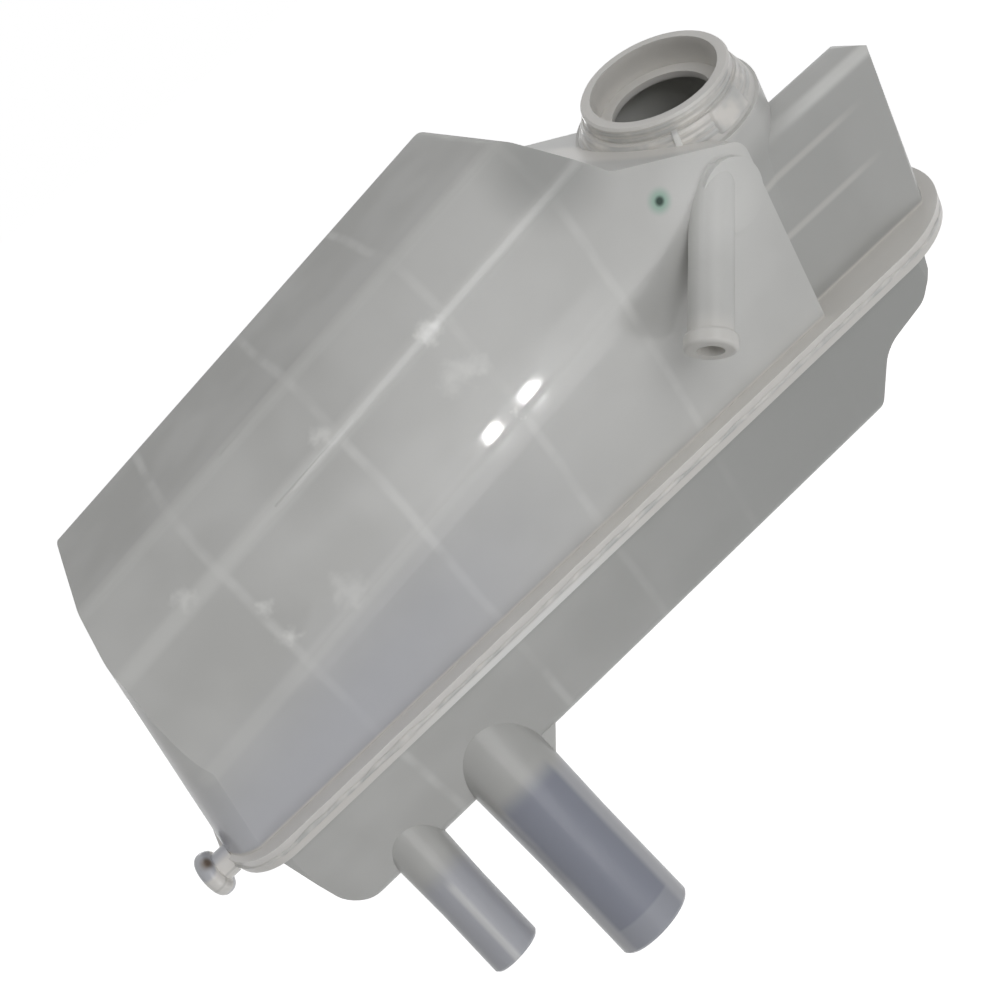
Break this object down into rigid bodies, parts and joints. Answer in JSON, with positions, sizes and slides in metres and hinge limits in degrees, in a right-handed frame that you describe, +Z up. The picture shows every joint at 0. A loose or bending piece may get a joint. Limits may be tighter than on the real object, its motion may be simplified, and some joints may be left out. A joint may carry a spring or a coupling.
{
  "type": "coolant expansion tank",
  "caption": "Welded two-half coolant expansion tank in milky plastic, with an open filler neck, a degas spigot and two hose pipes.",
  "frame": {"origin": "where the locating peg's axis leaves the left end of the weld flange, on the weld face", "axes": "+X along the flange from the peg to the nose, +Z up out of the weld face, -Y to the front"},
  "size_m": [0.3513, 0.1432, 0.2301],
  "materials": {
    "natural_plastic": "satin, translucent"
  },
  "bodies": {
    "root": {"upper_shell": "natural_plastic", "lower_shell": "natural_plastic"}
  },
  "joints": []
}
